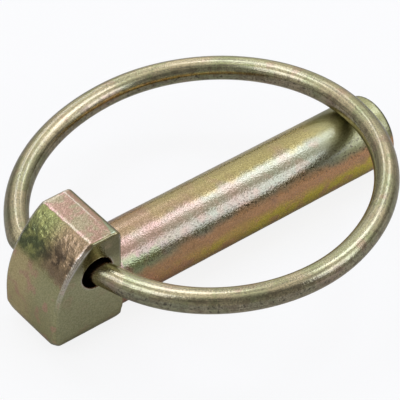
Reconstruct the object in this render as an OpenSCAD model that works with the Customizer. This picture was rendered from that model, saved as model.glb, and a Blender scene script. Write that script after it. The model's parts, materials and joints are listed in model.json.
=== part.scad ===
// Lynch pin: a plain forged pin with a block head, and a sprung wire ring that
// swings in the head and lies across the end of the shank.
// X runs along the shank to its tip, Y across the head, Z up. The origin is on
// the shank's axis, at the shoulder where the shank leaves the head.

/* [Shank] */
// Diameter of the shank
shank_d = 11; // [9:0.1:14]
// Length from the shoulder to the tip
shank_len = 50.2; // [40:0.1:70]
// Radius of the rim at the tip
tip_r = 0.5; // [0.2:0.1:1.5]

/* [Head] */
// Length of the head, from the shoulder to its end face
head_len = 11.65; // [10:0.05:14]
// How far each side of the head stands out beyond the shank
head_side = 0.2; // [0.05:0.05:2]
// Height of the head's flat top above the shank's axis
head_rise = 11.9; // [10.5:0.1:12.8]
// How far the head's underside stands below the shank
head_foot = 0.1; // [0.05:0.05:1]
// Radius of the curve from the end face up to the top
nose_r = 15; // [13.2:0.1:20]
// Height at which that curve starts, above the shank's axis
nose_z = -0.5; // [-1:0.1:1]
// Radius of the head's upper and side edges, and size of the bevel above its end face
edge_r = 0.6; // [0.2:0.05:1]
// Radius of the top's edge above the shank
back_r = 1.5; // [0.5:0.1:2]
// Radius of the head's lower edges at its sides and its end face
foot_r = 3.3; // [1:0.1:3.5]
// Radius of the head's lower edge at its back
heel_r = 2.6; // [1:0.1:3.5]
// How far the lower corners at the end face are blunted
corner_blunt = 0.3; // [0.1:0.05:0.6]
// Radius of the fillet between the shank and the head's back
neck_r = 0.6; // [0.3:0.1:1.5]

/* [Cross hole] */
// Diameter of the hole that the ring's ends enter
hole_d = 4.7; // [4.2:0.05:6]
// Distance of the hole's middle from the shoulder
hole_x = 5.55; // [4.5:0.05:6]
// Height of the hole's middle above the shank's axis
hole_z = 5.8; // [5:0.05:7]
// Angle by which the hole's far end runs towards the end face
hole_slant = 13.3; // [8:0.1:16]
// Angle by which the hole's far end runs down
hole_drop = 5.3; // [3:0.1:9]

/* [Ring] */
// Diameter of the ring's wire
wire_d = 3.55; // [3:0.05:4]
// Distance from the tip back to the wire's middle at the end of the ring
ring_inset = 5.3; // [3:0.1:10]
// Radius of the ring's bend on the near side
near_r = 21.8; // [18:0.1:26]
// Straight wire between the head and the ring's bend, on the near side
near_leg = 3.6; // [3:0.1:7]
// Straight wire between the head and the ring's bend, on the far side
far_leg = 0.6; // [0.5:0.1:3]
// Radius of the small bend that turns the ring into the head on the far side
hook_r = 3; // [2.5:0.1:6]
// Angle of that bend
hook_turn = 39.3; // [36:0.1:50]
// Length of each end inside the head
ring_end = 4; // [2.5:0.1:4.5]
// Gap between each end and the side of the hole that it lies against
hang_gap = 0.06; // [0.03:0.01:0.2]
// Angle by which the ends lie below the hole's middle, one towards the tip, one away
hang_dir = -22; // [-60:1:0]
// Gap between the closed ring and the shank that it lies across
rest_gap = 0.1; // [0.05:0.01:0.5]

/* [Hidden] */
$fn = 96;

shank_r = shank_d / 2;
wire_r = wire_d / 2;
head_w = shank_d + 2 * head_side;
head_low = -shank_r - head_foot;
head_h = head_rise - head_low;
// Length that the forms of the head run past each other before they are cut
over = 2;
// Depth to which the shank runs into the head
root = head_len / 2;

// Axis of the end face's curve, and the middle of the round edge whose ends the
// bevel between that curve and the top joins
nose_at = [nose_r - head_len, nose_z];
ridge_z = head_rise - edge_r;
ridge_x = nose_at[0] - sqrt((nose_r - edge_r) ^ 2 - (ridge_z - nose_z) ^ 2);
ridge_out = ([ridge_x, ridge_z] - nose_at) / (nose_r - edge_r);
// Ball that blunts the lower corners at the end face, and how far their own
// rounding already stands in from each face
ball_at = [-head_len / 3, 0, 3];
foot_inset = foot_r * (1 - cos(45));
ball_r = norm([head_len + ball_at[0] - foot_inset, head_w / 2 - foot_inset,
    ball_at[2] - head_low - foot_inset]) - corner_blunt;

// Offsets of the wire's ends from the hole's axis: the ends are out of line
play = (hole_d - wire_d) / 2 - hang_gap;
hang_side = play * cos(hang_dir);
hang_rise = play * sin(hang_dir);
// Length of the hole's axis inside the head
span = head_w / (cos(hole_slant) * cos(hole_drop));

// The tip bend ends where the ring reaches furthest along the shank
tip_reach = shank_len - ring_inset + hole_x;
slant_s = sin(hole_slant);
slant_c = cos(hole_slant);
hook_s = sin(hook_turn);
hook_c = cos(hook_turn);
tip_bend_r = (tip_reach - hang_side * slant_c - near_r * (slant_c + slant_s)
    - (span / 2 + near_leg) * slant_s) / (1 - slant_s);
// The far bend and the long bend bring the wire back to the hole
along = 2 * hang_side + near_r + tip_bend_r * slant_c - hook_r * (1 - hook_c);
across = span + near_leg + far_leg + near_r - tip_bend_r * (1 - slant_s) + hook_r * hook_s;
closing = (slant_c - slant_s) * (slant_c - hook_s) + (slant_s + hook_c) * (slant_c + slant_s);
far_r = (along * (slant_c - hook_s) + across * (slant_s + hook_c)) / closing;
long_r = (along * (slant_c + slant_s) - across * (slant_c - slant_s)) / closing;
// The ring's stretches, from its near end: [radius, angle] of a bend, or [length]
RING = [
    [ring_end + near_leg],
    [near_r, 90],
    [tip_bend_r, 90 - hole_slant],
    [far_r, 90],
    [long_r, 90 + hole_slant - hook_turn],
    [hook_r, hook_turn],
    [far_leg + ring_end],
];
// Difference in thickness between neighbouring stretches, and their overlap
skin_step = 0.006;
lap = 0.1;

// Where the tip bend crosses the shank, in the ring's own plane
cross_line = tan(hole_slant) / cos(hole_drop);
bend_x = hang_side + near_r;
bend_y = tip_bend_r - near_r - near_leg - span / 2;
bend_m = bend_x - cross_line * bend_y;
bend_k = 1 + cross_line * cross_line;
bend_c = bend_x * bend_x + bend_y * bend_y - tip_bend_r * tip_bend_r;
cross_x = (bend_m + sqrt(bend_m * bend_m - bend_k * bend_c)) / bend_k / slant_c;
// Height of the wire's middle there, and the tilt of the ring that lays it there
cross_z = (shank_r + wire_r + rest_gap) / cos(hole_drop);
cross_rise = (cross_z - hole_z) * cos(hole_drop) - cross_x * sin(hole_drop) * slant_s;
tilt = atan((cross_rise - hang_rise) / (cross_x * slant_c));

// ---- pin ----

// What rounding to radius r takes off a corner whose sides run along X and Y
module corner_cut(r) {
    difference() {
        translate([-over, -over]) square(r + over);
        translate([r, r]) circle(r);
    }
}

// Rectangle with its corners rounded to the radii in r, anticlockwise from the origin
module rounded(w, h, r) {
    difference() {
        square([w, h]);
        corner_cut(r[0]);
        translate([w, 0]) rotate(90) corner_cut(r[1]);
        translate([w, h]) rotate(180) corner_cut(r[2]);
        translate([0, h]) rotate(270) corner_cut(r[3]);
    }
}

// The head from the side, as a block with a bevel where its top meets the end face
module side_form() {
    translate([0, head_w / 2 + over, 0])
        rotate([90, 0, 0]) linear_extrude(head_w + 2 * over) difference() {
            translate([-head_len, head_low])
                rounded(head_len, head_h, [foot_r, heel_r, back_r, edge_r]);
            polygon([
                [ridge_x, head_rise],
                [ridge_x, head_rise + over],
                nose_at + (nose_r + over) * ridge_out,
                nose_at + nose_r * ridge_out,
            ]);
        }
}

// Bar along the end face and its curve, whose side edges are rounded
module nose_form() {
    edges = [edge_r, edge_r, edge_r, edge_r];
    translate([nose_at[0], 0, nose_z]) {
        rotate([90, 0, 0]) rotate_extrude(angle = 180) intersection() {
            translate([-nose_r, -head_w / 2]) rounded(2 * nose_r, head_w, edges);
            translate([0, -head_w]) square([2 * nose_r, 2 * head_w]);
        }
        translate([-nose_r, -head_w / 2, head_low - nose_z - over])
            linear_extrude(nose_z - head_low + over) rounded(2 * nose_r, head_w, edges);
    }
}

// Bar with the head's outline from the end, which also trims the neck fillet
module flank_form() {
    translate([-head_len - over, -head_w / 2, head_low])
        rotate([90, 0, 90]) linear_extrude(head_len + shank_len + 2 * over)
            rounded(head_w, head_h, [foot_r, foot_r, edge_r, edge_r]);
}

// Bar with the head's outline from above, which rounds the side edges of its back
module plan_form() {
    translate([-head_len - over, -head_w / 2, head_low - over])
        linear_extrude(head_h + 2 * over)
            rounded(head_len + over, head_w, [edge_r, edge_r, edge_r, edge_r]);
}

// Ball with a straight top
module corner_form() {
    translate(ball_at) {
        rotate_extrude() intersection() {
            circle(ball_r);
            translate([0, -ball_r]) square(ball_r);
        }
        cylinder(r = ball_r, h = head_rise);
    }
}

// The shank, with its neck fillet on the head's back and its rounded tip
module shank() {
    rotate([0, 90, 0]) rotate_extrude() {
        translate([0, -root]) square([shank_r - tip_r, shank_len + root]);
        translate([0, -root]) square([shank_r, shank_len + root - tip_r]);
        translate([shank_r - tip_r, shank_len - tip_r]) circle(tip_r);
        difference() {
            translate([0, -root]) square([shank_r + neck_r, root + neck_r]);
            translate([shank_r + neck_r, neck_r]) circle(neck_r);
        }
    }
}

module cross_hole() {
    translate([-hole_x, 0, hole_z])
        rotate([-hole_drop, 0, hole_slant])
            rotate([90, 0, 0]) cylinder(d = hole_d, h = 2 * head_w, center = true);
}

module pin() {
    color("#9c9468") difference() {
        union() {
            intersection() {
                side_form();
                nose_form();
                plan_form();
                corner_form();
                flank_form();
            }
            intersection() {
                shank();
                flank_form();
            }
        }
        cross_hole();
    }
}

// ---- ring ----

// Heading of the wire where a stretch starts, in the ring's own plane
function heading(i) = i == 0 ? -90
    : heading(i - 1) + (len(RING[i - 1]) > 1 ? RING[i - 1][1] : 0);

// Place where a stretch starts: each bend turns about a centre on the wire's left
function unit(a) = [cos(a), sin(a)];
function start(i) = i == 0 ? [hang_side, ring_end - span / 2]
    : start(i - 1) + (len(RING[i - 1]) > 1
        ? RING[i - 1][0] * (unit(heading(i - 1) + 90) - unit(heading(i) + 90))
        : RING[i - 1][0] * unit(heading(i - 1)));

// Every other stretch is a hair thinner, and its ends run into its neighbours
module stretch(i) {
    r = RING[i][0];
    thin = i % 2;
    d = wire_d - thin * skin_step;
    turn = thin * lap / r * 180 / PI;
    translate(start(i)) rotate([0, 0, heading(i)])
        if (len(RING[i]) > 1)
            translate([0, r, 0]) rotate([0, 0, -90 - turn])
                rotate_extrude(angle = RING[i][1] + 2 * turn)
                    translate([r, 0]) circle(d = d);
        else
            rotate([-90, 0, -90]) cylinder(d = d, h = r);
}

// The ring's plane runs along the hole's axis, just below it
module ring() {
    color("#a89c6c")
    translate([-hole_x, 0, hole_z])
    rotate([0, 0, hole_slant]) rotate([-hole_drop, 0, 0]) rotate([0, -tilt, 0])
        translate([0, 0, hang_rise]) for (i = [0 : len(RING) - 1]) stretch(i);
}

pin();
ring();
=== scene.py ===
import json
import math

import bmesh
import bpy
from mathutils import Matrix, Vector, noise


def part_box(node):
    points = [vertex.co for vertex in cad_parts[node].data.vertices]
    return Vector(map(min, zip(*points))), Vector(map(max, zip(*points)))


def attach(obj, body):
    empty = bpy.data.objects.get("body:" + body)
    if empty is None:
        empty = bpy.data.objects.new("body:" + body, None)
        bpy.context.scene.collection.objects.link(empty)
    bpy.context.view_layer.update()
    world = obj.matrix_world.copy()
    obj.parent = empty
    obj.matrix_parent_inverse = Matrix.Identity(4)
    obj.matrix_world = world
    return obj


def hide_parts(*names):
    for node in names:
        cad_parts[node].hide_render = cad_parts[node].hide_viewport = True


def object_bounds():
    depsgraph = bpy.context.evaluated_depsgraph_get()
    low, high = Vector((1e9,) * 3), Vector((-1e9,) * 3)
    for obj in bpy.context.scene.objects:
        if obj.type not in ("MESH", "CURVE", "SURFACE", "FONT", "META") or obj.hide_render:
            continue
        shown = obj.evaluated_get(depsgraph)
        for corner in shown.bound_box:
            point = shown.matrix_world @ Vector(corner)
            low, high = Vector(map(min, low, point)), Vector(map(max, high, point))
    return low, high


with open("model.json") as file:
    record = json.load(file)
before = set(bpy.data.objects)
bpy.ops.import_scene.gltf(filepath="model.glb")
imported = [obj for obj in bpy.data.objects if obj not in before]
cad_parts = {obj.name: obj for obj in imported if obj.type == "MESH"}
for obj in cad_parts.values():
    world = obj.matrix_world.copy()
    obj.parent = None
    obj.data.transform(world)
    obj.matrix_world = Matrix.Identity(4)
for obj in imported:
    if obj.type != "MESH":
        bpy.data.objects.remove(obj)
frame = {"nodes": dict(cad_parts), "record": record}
cad_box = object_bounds()


# The pin is one forging of mild steel: a round shank, and a block head with a long curve
# up its end face and a slanted cross hole. It is zinc plated and yellow passivated.

MM = 0.001
SHANK_R = 5.5 * MM
HOLE_R = 2.35 * MM
# Radii of the fillet at the neck, of the tip's rim, and of the top's edge above the shank
NECK_R = 0.6 * MM
TIP_R = 0.5 * MM
BACK_R = 1.5 * MM

pin_low, pin_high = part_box("pin")
head_top = pin_high.z
tip_x = pin_high.x
swing = frame["record"]["behaviour"]["joints"][0]

# The forging's mesh: its spacing, how often it is smoothed, the distance within which two
# corners of the CAD mesh are one, and a little more than smoothing takes off the shank
VOXEL = 0.2 * MM
SOFTENING = 6
SAME_CORNER = 0.002 * MM
SHRINKAGE = 0.1 * MM
# Lengths over which the shank's true radius fades out by the neck and by the tip
NECK_FADE = 1 * MM
TIP_FADE = 0.5 * MM

# The forged skin: how deep each kind of unevenness is, and how far apart its bumps lie
WAVE_DEPTH = 0.012 * MM
WAVE_SPACING = 2.6 * MM
RIPPLE_DEPTH = 0.006 * MM
RIPPLE_SPACING = 0.9 * MM
ROUGH_DEPTH = 0.035 * MM
ROUGH_SPACING = 0.75 * MM
FINE_SPACING = 0.38 * MM
FINE_SHARE = 0.6
# Heights from which the end face gets rough, and above which it is fully rough
ROUGH_FROM = 6.4 * MM
ROUGH_ABOVE = 8.2 * MM
# The hollow in the rough end face: its depth, its middle, and its reach each way from there
HOLLOW_DEPTH = 0.12 * MM
HOLLOW_Y = 1.6 * MM
HOLLOW_Z = 8.2 * MM
HOLLOW_SIDEWAYS = 2.6 * MM
HOLLOW_UPWARDS = 1.5 * MM
# The line that trimming the flash left across the top, by the edge above the shank
TRIM_X = -BACK_R - 0.15 * MM
TRIM_RISE = 0.03 * MM
TRIM_REACH = 0.1 * MM
# How much the surface turns in one voxel where an edge starts to count as sharp, and where it is
# fully sharp; the head's sharp edges get worn metal and a painted highlight
TURN_DULL = 0.07
TURN_BRIGHT = 0.3


def softened(node, name):
    """A fine even mesh in a CAD node's place, with every edge a little rounded."""
    mesh = frame["nodes"][node].data.copy()
    mesh.name = name
    merged = bmesh.new()
    merged.from_mesh(mesh)
    bmesh.ops.remove_doubles(merged, verts=merged.verts, dist=SAME_CORNER)
    merged.to_mesh(mesh)
    merged.free()
    made = bpy.data.objects.new(name, mesh)
    bpy.context.scene.collection.objects.link(made)
    remesh = made.modifiers.new("even", "REMESH")
    remesh.mode = "VOXEL"
    remesh.voxel_size = VOXEL
    smooth = made.modifiers.new("soften", "SMOOTH")
    smooth.factor = 0.5
    smooth.iterations = SOFTENING
    finished = made.evaluated_get(bpy.context.evaluated_depsgraph_get())
    even_mesh = bpy.data.meshes.new_from_object(finished)
    made.modifiers.clear()
    made.data = even_mesh
    return made


def ramp(value, low, high):
    """0 below low, 1 above high, and smooth between them."""
    t = min(max((value - low) / (high - low), 0), 1)
    return t * t * (3 - 2 * t)


def trim_line(p):
    """1 on the line that the trimming left, and 0 away from it."""
    away = (p.x - TRIM_X) / TRIM_REACH
    return math.exp(-away * away) * ramp(p.z, head_top - 0.3 * MM, head_top - 0.1 * MM)


def forging_skin(p, normal):
    """How far the forged surface stands out of its true form at p."""
    wave = WAVE_DEPTH * noise.noise(p / WAVE_SPACING)
    ripple = RIPPLE_DEPTH * noise.noise(p / RIPPLE_SPACING)
    on_end = ramp(-normal.x, 0.25, 0.5) * ramp(p.z, ROUGH_FROM, ROUGH_ABOVE)
    rough = noise.noise(p / ROUGH_SPACING) + FINE_SHARE * noise.noise(p / FINE_SPACING)
    sideways = (p.y - HOLLOW_Y) / HOLLOW_SIDEWAYS
    upwards = (p.z - HOLLOW_Z) / HOLLOW_UPWARDS
    hollow = math.exp(-(sideways**2) - upwards**2)
    end_skin = on_end * (ROUGH_DEPTH * rough - HOLLOW_DEPTH * hollow)
    return wave + ripple + end_skin + TRIM_RISE * trim_line(p)


pin = softened("pin", "pin_forging")
points = pin.data.vertices

# The shank goes back to its true radius
for vertex in points:
    p = vertex.co
    out = math.hypot(p.y, p.z)
    if NECK_R < p.x < tip_x - TIP_R and abs(out - SHANK_R) < SHRINKAGE:
        along = ramp(p.x, NECK_R, NECK_R + NECK_FADE) * ramp(tip_x - TIP_R - p.x, 0, TIP_FADE)
        true = 1 + along * (SHANK_R / out - 1)
        vertex.co = (p.x, p.y * true, p.z * true)

# Each point notes how sharp an edge it lies on, and then takes its place on the skin
normals = [vertex.normal.copy() for vertex in points]
lean = [Vector() for vertex in points]
for edge in pin.data.edges:
    a, b = edge.vertices
    step = points[b].co - points[a].co
    lean[a] += step
    lean[b] -= step
rubbed = pin.data.attributes.new("rubbed", "FLOAT", "POINT")
lined = pin.data.attributes.new("lined", "FLOAT", "POINT")
for vertex, normal, pull in zip(points, normals, lean):
    rubbed.data[vertex.index].value = ramp(-pull.dot(normal) / VOXEL, TURN_DULL, TURN_BRIGHT)
    lined.data[vertex.index].value = trim_line(vertex.co)
    vertex.co = vertex.co + normal * forging_skin(vertex.co, normal)
for face in pin.data.polygons:
    face.use_smooth = True


class Value:
    """One socket of a material, which sums and products take as they take a number."""

    def __init__(self, tree, socket=None):
        self.tree = tree
        self.socket = socket

    def node(self, kind, settings=None, sockets=None, out=0):
        """A new node with its settings and its sockets' values or links, as one output."""
        made = self.tree.nodes.new(kind)
        for name, value in (settings or {}).items():
            setattr(made, name, value)
        for name, value in (sockets or {}).items():
            if isinstance(value, Value):
                self.tree.links.new(value.socket, made.inputs[name])
            else:
                made.inputs[name].default_value = value
        return Value(self.tree, made.outputs[out])

    def math(self, operation, *values):
        """The result of a Math node on these values."""
        return self.node("ShaderNodeMath", {"operation": operation}, dict(enumerate(values)))

    def __add__(self, other):
        return self.math("ADD", self, other)

    __radd__ = __add__

    def __sub__(self, other):
        return self.math("SUBTRACT", self, other)

    def __rsub__(self, other):
        return self.math("SUBTRACT", other, self)

    def __mul__(self, other):
        return self.math("MULTIPLY", self, other)

    __rmul__ = __mul__

    def step(self, low, high):
        """0 below low, 1 above high, and smooth between them; from 1 to 0 if low is higher."""
        settings = {"interpolation_type": "SMOOTHSTEP"}
        return self.node("ShaderNodeMapRange", settings, {0: self, 1: low, 2: high})

    def noise(self, scale, detail=2.0, stretch=(1, 1, 1), shift=0.0):
        """Smooth noise from 0 to 1 over these coordinates, with so many bumps to the metre."""
        sockets = {0: self, 1: (shift, shift, shift), 3: stretch}
        place = self.node("ShaderNodeMapping", None, sockets)
        sockets = {"Vector": place, "Scale": scale, "Detail": detail}
        return self.node("ShaderNodeTexNoise", None, sockets)

    def stray(self, reach):
        """A distance that follows this noise, up to half the reach to either side."""
        return reach * (self - 0.5)

    def mix(self, below, above):
        """The colour below where this is 0, and the colour above where it is 1."""
        ends = [c if isinstance(c, Value) else (*c, 1) for c in (below, above)]
        return self.node(
            "ShaderNodeMix", {"data_type": "RGBA"}, {0: self, 6: ends[0], 7: ends[1]}, out=2
        )

    def times(self, colour):
        """This colour multiplied by another."""
        settings = {"data_type": "RGBA", "blend_type": "MULTIPLY"}
        return self.node("ShaderNodeMix", settings, {0: 1.0, 6: self, 7: colour}, out=2)

    def bump(self, depth):
        """The normal of a surface that this value raises, by so much for each whole 1."""
        sockets = {"Strength": 1.0, "Distance": depth, "Height": self}
        return self.node("ShaderNodeBump", None, sockets)

    def parts(self):
        """The three numbers of a place or a direction."""
        split = self.node("ShaderNodeSeparateXYZ", None, {0: self}).socket.node
        return [Value(self.tree, socket) for socket in split.outputs]


def finish(shader, **sockets):
    """Feeds the shader's sockets, with _ for a space in a name."""
    for name, value in sockets.items():
        socket = shader.inputs[name.replace("_", " ")]
        if isinstance(value, Value):
            value.tree.links.new(value.socket, socket)
        else:
            socket.default_value = value


def plated(name):
    """A new metal under the clear film, its shader, and the place on the object in metres."""
    made = bpy.data.materials.new(name)
    made.use_nodes = True
    shader = made.node_tree.nodes["Principled BSDF"]
    finish(shader, Metallic=1.0, Specular_Tint=(0.85, 0.8, 0.66, 1))
    finish(shader, Coat_Weight=0.3, Coat_Roughness=0.15, Coat_IOR=1.8)
    place = Value(made.node_tree).node("ShaderNodeTexCoord", out=3)
    return made, shader, place


def out_of_axis(place, point, axis):
    """How far this place is from the line through a point along an axis."""
    kind = "ShaderNodeVectorMath"
    to_place = place.node(kind, {"operation": "SUBTRACT"}, {0: place, 1: point})
    across = place.node(kind, {"operation": "CROSS_PRODUCT"}, {0: to_place, 1: axis})
    return place.node(kind, {"operation": "LENGTH"}, {0: across}, out=1)


# Colours of the film on the shank. SHANK_TOP to SHANK_LOW run from the tip to the head, and
# the other pairs from one patch to the next
SHANK_TOP = (0.385, 0.32, 0.12), (0.38, 0.255, 0.145)
SHANK_FAR = (0.72, 0.62, 0.30), (0.60, 0.37, 0.18)
SHANK_NEAR = (0.30, 0.305, 0.20), (0.38, 0.245, 0.18)
SHANK_LOW = (0.66, 0.35, 0.15), (0.53, 0.30, 0.125)
UNDERSIDE = (0.72, 0.57, 0.06), (0.72, 0.44, 0.12)
UNDERSIDE_BY_HEAD = (0.68, 0.33, 0.16)
PINK_PATCH = (0.42, 0.25, 0.17)
GREEN_AT_NECK = (0.29, 0.325, 0.15)
OLIVE_BY_TIP = (0.34, 0.335, 0.155)
TIP_RIM = (0.06, 0.06, 0.045)
TIP_FACE = (0.42, 0.40, 0.22), (0.52, 0.36, 0.22)
SHEAR_MARK = (0.24, 0.20, 0.11)


def shank_film(place, drift, patch, sharp, on_tip, shear):
    """The colour on the shank: tan above, browner below, pinker by the head, olive by the tip."""
    x, y, z = place.parts()
    wander = drift.stray(3 * MM)
    by_head = 1 - (x + drift.stray(60 * MM)).step(0, 30 * MM)
    top = y.step(1.2 * MM, 3.2 * MM).mix(by_head.mix(*SHANK_TOP), by_head.mix(*SHANK_FAR))
    near = (-1 * y + patch.stray(3 * MM)).step(0.3 * MM, 1.8 * MM)
    colour = near.mix(top, by_head.mix(*SHANK_NEAR))
    colour = (z + wander).step(3.5 * MM, 2 * MM).mix(colour, by_head.mix(*SHANK_LOW))
    below = by_head.mix(patch.step(0.45, 0.6).mix(*UNDERSIDE), UNDERSIDE_BY_HEAD)
    colour = (z + wander).step(1.5 * MM, -0.3 * MM).mix(colour, below)
    colour = (0.35 * patch.step(0.52, 0.7)).mix(colour, PINK_PATCH)

    at_neck = x.step(13 * MM, 4 * MM) * (-1 * y).step(3 * MM, 4.3 * MM) * z.step(1 * MM, 2.5 * MM)
    colour = (at_neck * patch.step(0.4, 0.55)).mix(colour, GREEN_AT_NECK)
    by_tip = (x + wander).step(37 * MM, 43 * MM) * (z + wander).step(1.8 * MM, 3.4 * MM)
    colour = by_tip.mix(colour, sharp.mix(OLIVE_BY_TIP, TIP_RIM))

    face = (0.6 * patch.step(0.45, 0.6)).mix(*TIP_FACE)
    face = (0.35 * shear.step(0.5, 0.62)).mix(face, SHEAR_MARK)
    return on_tip.mix(colour, face)


# Colours of the film on the head. HEAD_SIDE runs upwards, the END pairs from the near side
# to the far one, and HEAD_TOP from one patch to the next
HEAD_SIDE = (0.45, 0.43, 0.21), (0.24, 0.215, 0.095)
SIDE_PATCH = (0.48, 0.35, 0.19)
END_LOW = (0.43, 0.40, 0.18), (0.59, 0.475, 0.21)
END_PATCH = (0.56, 0.335, 0.20)
END_HIGH = (0.36, 0.25, 0.14), (0.31, 0.32, 0.11)
END_DARK = (0.11, 0.075, 0.042), (0.105, 0.125, 0.05)
HEAD_TOP = (0.375, 0.235, 0.165), (0.34, 0.285, 0.17)
TOP_EDGE = (0.30, 0.34, 0.21)


def head_film(place, on_top, on_end, patch, mottle):
    """The colour on the head: a pink top, olive sides, and a dark rough end above the hole."""
    x, y, z = place.parts()
    side = z.step(6.5 * MM, 9 * MM).mix(*HEAD_SIDE)
    side = (0.5 * patch.step(0.55, 0.7)).mix(side, SIDE_PATCH)

    far_side = y.step(-2 * MM, 2.5 * MM)
    low = (0.85 * patch.step(0.5, 0.62)).mix(far_side.mix(*END_LOW), END_PATCH)
    hollow = (z + 0.2 * y + patch.stray(2 * MM)).step(7 * MM, 8.2 * MM) * z.step(11 * MM, 9 * MM)
    darker = (0.3 + 0.7 * hollow) * mottle.step(0.64, 0.44)
    high = darker.mix(far_side.mix(*END_HIGH), far_side.mix(*END_DARK))
    end = (z + patch.stray(1.6 * MM)).step(6 * MM, 7.2 * MM).mix(low, high)

    top = patch.step(0.42, 0.58).mix(*HEAD_TOP)
    past_trim = x + mottle.stray(0.25 * MM) - 0.25 * (y + 5 * MM)
    top = past_trim.step(-1.75 * MM, -1.45 * MM).mix(top, TOP_EDGE)
    return on_top.mix(on_end.mix(side, end), top)


# Colours of worn bare metal, which also serves as a painted highlight on the head's edges, of the
# cross hole's wall, of dark specks, which also paint a dark reflection along the shank, and of
# the grain, which darkens or lightens what lies under it
WORN_METAL_AND_HIGHLIGHT = (0.72, 0.66, 0.54)
HOLE_WALL = (0.30, 0.13, 0.08)
SPECK_AND_DARK_REFLECTION = (0.10, 0.075, 0.04)
GRAIN = (0.82, 0.82, 0.80), (1.14, 1.14, 1.18)
GRAIN_DEPTH = 0.042 * MM

pin_zinc, shader, place = plated("yellow_zinc_on_forging")
x, y, z = place.parts()
facing_x, _, facing_z = place.node("ShaderNodeNewGeometry", out=1).parts()
drift = place.noise(170, 3)
patch = place.noise(420, 3, shift=0.3)
mottle = place.noise(900, 4, shift=0.1)
shear = place.noise(2600, 2, stretch=(1, 0.25, 1), shift=0.9)
grain = place.noise(4000, 1.5, stretch=(0.8, 1, 1))
fine = place.noise(5200, 1, shift=0.4)
sharp = place.node("ShaderNodeAttribute", {"attribute_name": "rubbed"}, out=2)
trim = place.node("ShaderNodeAttribute", {"attribute_name": "lined"}, out=2)
on_shank = x.step(-0.2 * MM, 0.2 * MM)
on_tip = facing_x.step(0.8, 0.95)
on_top = facing_z.step(0.85, 0.95)
on_end = (-1 * facing_x).step(0.2, 0.4)
colour = on_shank.mix(
    head_film(place, on_top, on_end, patch, mottle),
    shank_film(place, drift, patch, sharp, on_tip, shear),
)

# The head's edges are painted bright, partly as worn bare metal and partly as a painted
# highlight, all but half of the top's near edge, and the trimming line gets the same painted
# highlight, stronger towards the far side
unmarked_edge = z.step(10.7 * MM, 11.5 * MM) * (-1 * y).step(4.4 * MM, 5.1 * MM)
unmarked_edge = unmarked_edge * x.step(-8 * MM, -6.5 * MM)
edges = sharp * x.step(0.5 * MM, 0) * z.step(0.5 * MM, 8.5 * MM) * (1 - unmarked_edge)
# Painted highlight, partly worn bare metal, on the head's sharp edges and along the trimming line
wear_and_highlight = (edges + 0.75 * trim * (0.25 + 0.75 * y.step(-4 * MM, 0))).step(0, 0.95)
colour = (0.85 * wear_and_highlight).mix(colour, WORN_METAL_AND_HIGHLIGHT)
from_axis = out_of_axis(place, swing["pos_m"], swing["axis"])
in_hole = from_axis.step(HOLE_R + 0.25 * MM, HOLE_R + 0.01 * MM) * x.step(0, -1 * MM)
colour = in_hole.mix(colour, HOLE_WALL)

# The plating's grain breaks the highlights up; dark specks in a band along each side of the
# shank, above its middle, paint a dark reflection there as well
# Painted dark reflection, broken into dark specks, in a band along the shank
specks_and_dark_reflection = place.noise(3000, 2, shift=0.6).step(0.43, 0.36)
specks_and_dark_reflection = specks_and_dark_reflection * z.step(5.4 * MM, 3.4 * MM) * z.step(1.4 * MM, 2.6 * MM)
colour = (0.75 * specks_and_dark_reflection * x.step(2 * MM, 5 * MM)).mix(colour, SPECK_AND_DARK_REFLECTION)
colour = colour.times((0.5 * grain + 0.5 * fine).step(0.36, 0.64).mix(*GRAIN))

# Pits in the rough end face and across the sheared tip, and a duller stretch by the tip
pits = 2.5 * place.noise(1400, 3, shift=0.8)
pits = pits * on_end * z.step(6.5 * MM, 8 * MM) * x.step(0, -1 * MM) + 0.6 * shear * on_tip
dull_tip = 0.18 * (x + drift.stray(3 * MM)).step(30 * MM, 42 * MM)
dull_tip = dull_tip * z.step(0, 3 * MM) * facing_x.step(0.5, 0.2)
dull = 0.1 + 0.06 * drift + (0.05 + 0.1 * on_shank) * fine.step(0.4, 0.66) + dull_tip
raised = (0.6 * grain + 0.4 * fine + pits).bump(GRAIN_DEPTH)
finish(shader, Base_Color=colour, Roughness=dull, Normal=raised)

pin.data.materials.clear()
pin.data.materials.append(pin_zinc)
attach(pin, "pin")
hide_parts("pin")


# The ring is one length of drawn spring wire, bent round in five bends, with its two ends
# sprung into the cross hole. It has the same finish, streaked by the marks of drawing.

WIRE_R = 1.775 * MM
# Gap between each end and the hole's wall, and the way the end hangs from the hole's middle
HANG_GAP = 0.06 * MM
HANG_DIRECTION = math.radians(-22)
# From the tip back to the wire's middle, and the gap from the shank up to the closed ring
INSET = 5.3 * MM
REST_GAP = 0.1 * MM
# The near bend, the straight wire beside the head on each side, the hook bend that turns
# the wire into the head on the far side, and each end's length inside the head
NEAR_R = 21.8 * MM
NEAR_LEG = 3.6 * MM
FAR_LEG = 0.6 * MM
HOOK_R = 3 * MM
HOOK_TURN = math.radians(39.3)
END = 4 * MM
# Spacing of the points along the wire, and number of points round it
STEP = 0.35 * MM
WIRE_SIDES = 64

hole = Vector(swing["pos_m"])
axle = Vector(swing["axis"])
slant = math.atan2(axle.x, -axle.y)
drop = math.asin(axle.z)
slant_s, slant_c = math.sin(slant), math.cos(slant)
hook_s, hook_c = math.sin(HOOK_TURN), math.cos(HOOK_TURN)
play = HOLE_R - WIRE_R - HANG_GAP
hang_side = play * math.cos(HANG_DIRECTION)
hang_rise = play * math.sin(HANG_DIRECTION)
span = (pin_high.y - pin_low.y) / (slant_c * math.cos(drop))

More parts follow.
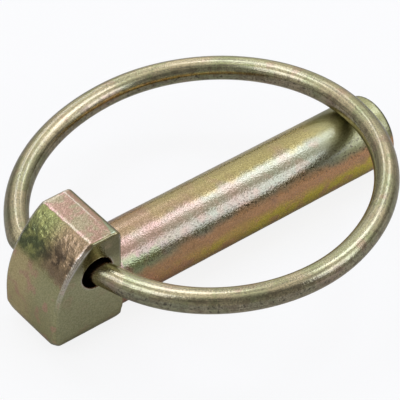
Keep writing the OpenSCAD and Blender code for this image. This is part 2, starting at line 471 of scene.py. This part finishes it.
# Radii of the three bends that bring the wire round to the tip and back to the hole
tip_bend_r = (
    tip_x - INSET - hole.x - hang_side * slant_c - NEAR_R * (slant_c + slant_s)
    - (span / 2 + NEAR_LEG) * slant_s
) / (1 - slant_s)
along = 2 * hang_side + NEAR_R + tip_bend_r * slant_c - HOOK_R * (1 - hook_c)
across = span + NEAR_LEG + FAR_LEG + NEAR_R - tip_bend_r * (1 - slant_s) + HOOK_R * hook_s
closing = (slant_c - slant_s) * (slant_c - hook_s) + (slant_s + hook_c) * (slant_c + slant_s)
far_r = (along * (slant_c - hook_s) + across * (slant_s + hook_c)) / closing
long_r = (along * (slant_c + slant_s) - across * (slant_c - slant_s)) / closing

# Tilt that lays the tip bend on the shank, found where that bend crosses over its middle
cross_line = math.tan(slant) / math.cos(drop)
bend_x = hang_side + NEAR_R
bend_y = tip_bend_r - NEAR_R - NEAR_LEG - span / 2
middle = bend_x - cross_line * bend_y
widening = 1 + cross_line**2
cross_x = (
    middle + math.sqrt(middle**2 - widening * (bend_x**2 + bend_y**2 - tip_bend_r**2))
) / widening / slant_c
cross_z = (SHANK_R + WIRE_R + REST_GAP) / math.cos(drop)
cross_rise = (cross_z - hole.z) * math.cos(drop) - cross_x * math.sin(drop) * slant_s
tilt = math.atan((cross_rise - hang_rise) / (cross_x * slant_c))
ring_plane = (
    Matrix.Translation(hole)
    @ Matrix.Rotation(slant, 4, "Z")
    @ Matrix.Rotation(-drop, 4, "X")
    @ Matrix.Rotation(-tilt, 4, "Y")
    @ Matrix.Translation((0, 0, hang_rise))
)

# The wire's middle line: straight ends, and bends given as radius and angle
quarter = math.pi / 2
stretches = [
    (END + NEAR_LEG, None),
    (NEAR_R, quarter),
    (tip_bend_r, quarter - slant),
    (far_r, quarter),
    (long_r, quarter + slant - HOOK_TURN),
    (HOOK_R, HOOK_TURN),
    (END + FAR_LEG, None),
]
at = Vector((hang_side, END - span / 2))
heading = -quarter
route = [at.copy()]
for size, turn in stretches:
    steps = max(2, round((size if turn is None else size * turn) / STEP))
    forward = Vector((math.cos(heading), math.sin(heading)))
    left = Vector((-forward.y, forward.x))
    for i in range(1, steps + 1):
        if turn is None:
            route.append(at + forward * size * i / steps)
        else:
            swept = turn * i / steps
            route.append(at + size * (forward * math.sin(swept) + left * (1 - math.cos(swept))))
    at = route[-1].copy()
    heading += turn or 0

wire_line = bpy.data.curves.new("wire_line", "CURVE")
wire_line.dimensions = "3D"
spline = wire_line.splines.new("POLY")
spline.points.add(len(route) - 1)
for point, place_in_plane in zip(spline.points, route):
    point.co = (*(ring_plane @ place_in_plane.to_3d()), 1)
ring = bpy.data.objects.new("ring_wire", wire_line)
bpy.context.scene.collection.objects.link(ring)


def drawn_wire():
    """Geometry Nodes that draw a round wire along a curve, and note where its lines run."""
    tree = bpy.data.node_groups.new("drawn_wire", "GeometryNodeTree")
    ports = tree.interface
    ports.new_socket("Line", in_out="INPUT", socket_type="NodeSocketGeometry")
    ports.new_socket("Radius", in_out="INPUT", socket_type="NodeSocketFloat")
    ports.new_socket("Sides", in_out="INPUT", socket_type="NodeSocketInt")
    ports.new_socket("Finish", in_out="INPUT", socket_type="NodeSocketMaterial")
    ports.new_socket("Wire", in_out="OUTPUT", socket_type="NodeSocketGeometry")
    new = tree.nodes.new
    link = tree.links.new
    given = new("NodeGroupInput")
    result = new("NodeGroupOutput")

    # The curve's points note how far along the wire they lie
    length = new("GeometryNodeSplineParameter")
    note_along = new("GeometryNodeStoreNamedAttribute")
    note_along.data_type = "FLOAT"
    note_along.inputs["Name"].default_value = "along"
    link(given.outputs["Line"], note_along.inputs["Geometry"])
    link(length.outputs["Length"], note_along.inputs["Value"])

    # The round section's points note where in the section they lie
    section = new("GeometryNodeCurvePrimitiveCircle")
    place_in_section = new("GeometryNodeInputPosition")
    note_around = new("GeometryNodeStoreNamedAttribute")
    note_around.data_type = "FLOAT_VECTOR"
    note_around.inputs["Name"].default_value = "around"
    link(given.outputs["Radius"], section.inputs["Radius"])
    link(given.outputs["Sides"], section.inputs["Resolution"])
    link(section.outputs["Curve"], note_around.inputs["Geometry"])
    link(place_in_section.outputs["Position"], note_around.inputs["Value"])

    # The section is swept along the curve, with flat ends
    sweep = new("GeometryNodeCurveToMesh")
    smooth = new("GeometryNodeSetShadeSmooth")
    real = new("GeometryNodeRealizeInstances")
    coat = new("GeometryNodeSetMaterial")
    sweep.inputs["Fill Caps"].default_value = True
    link(note_along.outputs["Geometry"], sweep.inputs["Curve"])
    link(note_around.outputs["Geometry"], sweep.inputs["Profile Curve"])
    link(sweep.outputs["Mesh"], smooth.inputs["Geometry"])
    link(smooth.outputs["Geometry"], real.inputs["Geometry"])
    link(real.outputs["Geometry"], coat.inputs["Geometry"])
    link(given.outputs["Finish"], coat.inputs["Material"])
    link(coat.outputs["Geometry"], result.inputs["Wire"])
    return tree


# Colours of the film on the wire, from one patch to the next, of the streaks of drawing,
# and of the dark mottle and dark specks, a painted shade, that lie everywhere but on its upper
# side
WIRE_FILM = (0.41, 0.40, 0.22), (0.50, 0.42, 0.25)
WIRE_PINK = (0.44, 0.30, 0.20)
WIRE_GREEN = (0.27, 0.31, 0.13)
DRAW_STREAK = (0.19, 0.17, 0.10)
UNDERSIDE_SHADE_MOTTLE = (0.17, 0.125, 0.07)
UNDERSIDE_SHADE_SPECK = (0.06, 0.05, 0.03)
DRAW_DEPTH = 0.045 * MM

ring_zinc, shader, place = plated("yellow_zinc_on_drawn_wire")
along_wire = place.node("ShaderNodeAttribute", {"attribute_name": "along"}, out=2)
around_wire = place.node("ShaderNodeAttribute", {"attribute_name": "around"}, out=1)
around_x, around_y, _ = around_wire.parts()
on_wire = place.node("ShaderNodeCombineXYZ", None, {0: around_x, 1: around_y, 2: along_wire})
facing_z = place.node("ShaderNodeNewGeometry", out=1).parts()[2]
drift = place.noise(150, 3)
draw = on_wire.noise(3000, 3, stretch=(1, 1, 0.03))
grain = place.noise(5200, 2)
patch = place.noise(300, 3, shift=0.2)
speck = place.noise(2600, 3, shift=0.5)
mottle = place.noise(1100, 3, shift=0.7)
colour = drift.step(0.4, 0.6).mix(*WIRE_FILM)
colour = (0.7 * patch.step(0.54, 0.66)).mix(colour, WIRE_PINK)
colour = (0.5 * patch.step(0.42, 0.34)).mix(colour, WIRE_GREEN)
colour = (0.5 * grain + 0.5 * draw).step(0.3, 0.62).mix(DRAW_STREAK, colour)
# Painted shade: dark mottle and specks on the wire's sides and under side, set by which way the
# surface faces
colour = (0.5 * mottle.step(0.52, 0.62) * facing_z.step(1, 0.6)).mix(colour, UNDERSIDE_SHADE_MOTTLE)
colour = (0.8 * speck.step(0.42, 0.36) * facing_z.step(0.8, 0.1)).mix(colour, UNDERSIDE_SHADE_SPECK)
raised = (0.5 * grain + 0.5 * draw).bump(DRAW_DEPTH)
finish(shader, Base_Color=colour, Roughness=0.12 + 0.1 * draw, Normal=raised)

wire = ring.modifiers.new("drawn_wire", "NODES")
wire.node_group = drawn_wire()
inputs = {"Radius": WIRE_R, "Sides": WIRE_SIDES, "Finish": ring_zinc}
for item in wire.node_group.interface.items_tree:
    if item.in_out == "INPUT" and item.name in inputs:
        wire[item.identifier] = inputs[item.name]
finished = ring.evaluated_get(bpy.context.evaluated_depsgraph_get())
drawn = bpy.data.meshes.new_from_object(finished)
bpy.data.objects.remove(ring)
ring = bpy.data.objects.new("ring_wire", drawn)
bpy.context.scene.collection.objects.link(ring)
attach(ring, "ring")
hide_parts("ring")


# The stage: a white paper floor, softboxes over and beside the pin, and a pale room that
# is darker near the ground. The camera looks down on the pin from beside its head.

# Half the floor's width in metres
FLOOR_HALF = 3.0
floor_z = cad_box[0].z
floor_mesh = bpy.data.meshes.new("floor")
corners = [(-1, -1), (1, -1), (1, 1), (-1, 1)]
places = [(FLOOR_HALF * i, FLOOR_HALF * j, floor_z) for i, j in corners]
floor_mesh.from_pydata(places, [], [range(len(places))])
floor = bpy.data.objects.new("floor", floor_mesh)
bpy.context.scene.collection.objects.link(floor)

# The paper's colour in the light that it throws back on the pin, and to the camera, which
# sees it under this share of plain white, so that the shadow stays faint
PAPER_BELOW_PIN = (0.6, 0.6, 0.6)
PAPER_SEEN = (0.95, 0.95, 0.95)
PLAIN_WHITE = 0.85

paper = bpy.data.materials.new("white_paper")
paper.use_nodes = True
paper_tree = paper.node_tree
sheet = paper_tree.nodes["Principled BSDF"]
seen = Value(paper_tree).node("ShaderNodeLightPath")
finish(sheet, Base_Color=seen.mix(PAPER_BELOW_PIN, PAPER_SEEN))
finish(sheet, Roughness=0.9, Specular_IOR_Level=0.0)
white = seen.node("ShaderNodeEmission", None, {"Color": (1, 1, 1, 1), "Strength": 1.0})
lit = Value(paper_tree, sheet.outputs[0])
lifted = seen.node("ShaderNodeMixShader", None, {0: PLAIN_WHITE * seen, 1: lit, 2: white})
paper_tree.links.new(lifted.socket, paper_tree.nodes["Material Output"].inputs["Surface"])
floor_mesh.materials.append(paper)

# The middle of the part, which the softboxes face, and the cool colour of their light
FOCUS = Vector((0.0216, 0, 0.005))
COOL_WHITE = (0.9, 0.97, 1.3)


def softbox(name, towards, distance, along, across, radiance):
    """A rectangular lamp in one direction from the pin, its length level with the shank."""
    towards = Vector(towards).normalized()
    light = bpy.data.lights.new(name, "AREA")
    light.shape = "RECTANGLE"
    light.size = along
    light.size_y = across
    light.energy = radiance * math.pi * along * across
    light.color = COOL_WHITE
    lamp = bpy.data.objects.new(name, light)
    side = towards.cross(Vector((1, 0, 0))).normalized()
    level = side.cross(towards)
    turn = Matrix((level, side, towards)).transposed()
    lamp.matrix_world = Matrix.Translation(FOCUS + towards * distance) @ turn.to_4x4()
    bpy.context.scene.collection.objects.link(lamp)


# Each softbox: its direction, its distance, its length and width, and its radiance
softbox("overhead_box", (0.58, 0.067, 0.81), 0.40, 0.17, 0.13, 2.5)
softbox("near_box", (0.51, -0.66, 0.56), 0.42, 0.22, 0.19, 1.75)
softbox("back_box", (0.03, 0.48, 0.88), 0.42, 0.17, 0.16, 2.2)
softbox("left_box", (-0.69, 0.19, 0.69), 0.42, 0.17, 0.24, 1.75)
softbox("tip_box", (0.7, 0.36, 0.62), 0.42, 0.06, 0.08, 2.6)
softbox("far_box", (0.34, 0.73, 0.58), 0.42, 0.05, 0.10, 2.0)

# The room shines at one plain level, and is white to the camera. The metal mirrors walls
# that are dim beside the shank, brighter past its ends, and brightest high up on the far side
ROOM_LIGHT = 0.5

world = bpy.data.worlds.new("studio")
bpy.context.scene.world = world
world.use_nodes = True
air = Value(world.node_tree)
camera_ray = air.node("ShaderNodeLightPath")
glossy_ray = Value(world.node_tree, camera_ray.socket.node.outputs["Is Glossy Ray"])
out_x, out_y, out_z = air.node("ShaderNodeTexCoord", out=0).parts()
past_tip = out_x.step(-0.1, 0.6) * (0.22 + 0.55 * out_y.step(-0.2, 0.9))
low_wall = 0.3 - 0.2 * out_x + past_tip
high_wall = 0.25 + 0.85 * (out_y + 0.5 * out_x).step(-0.85, 0.1)
mirrored = low_wall + (high_wall - low_wall) * out_z.step(0.2, 0.6)
strength = ROOM_LIGHT + camera_ray * (1 - ROOM_LIGHT) + glossy_ray * (mirrored - ROOM_LIGHT)
finish(world.node_tree.nodes["Background"], Color=(1, 1, 1, 1), Strength=strength)

# Where the camera looks, and how far back and in which direction it stands from there
LOOK_AT = Vector((0.0172, -0.000862, 0.004435))
DISTANCE = 0.336565
AZIMUTH = math.radians(-39.633)
ELEVATION = math.radians(41.696)
ROLL = math.radians(1.492)
SENSOR_WIDTH = 36
FOCAL_LENGTH = 216.94
CLIP_NEAR = 0.01
CLIP_FAR = 20

lens = bpy.data.cameras.new("camera")
lens.sensor_width = SENSOR_WIDTH
lens.lens = FOCAL_LENGTH
lens.clip_start = CLIP_NEAR
lens.clip_end = CLIP_FAR
camera = bpy.data.objects.new("camera", lens)
back = Vector(
    (
        math.sin(AZIMUTH) * math.cos(ELEVATION),
        -math.cos(AZIMUTH) * math.cos(ELEVATION),
        math.sin(ELEVATION),
    )
)
upright = back.to_track_quat("Z", "Y").to_matrix()
turn = upright @ Matrix.Rotation(ROLL, 3, "Z")
camera.matrix_world = Matrix.Translation(LOOK_AT + back * DISTANCE) @ turn.to_4x4()
bpy.context.scene.collection.objects.link(camera)
bpy.context.scene.camera = camera
bpy.context.scene.view_settings.view_transform = "Standard"

bpy.context.view_layer.update()
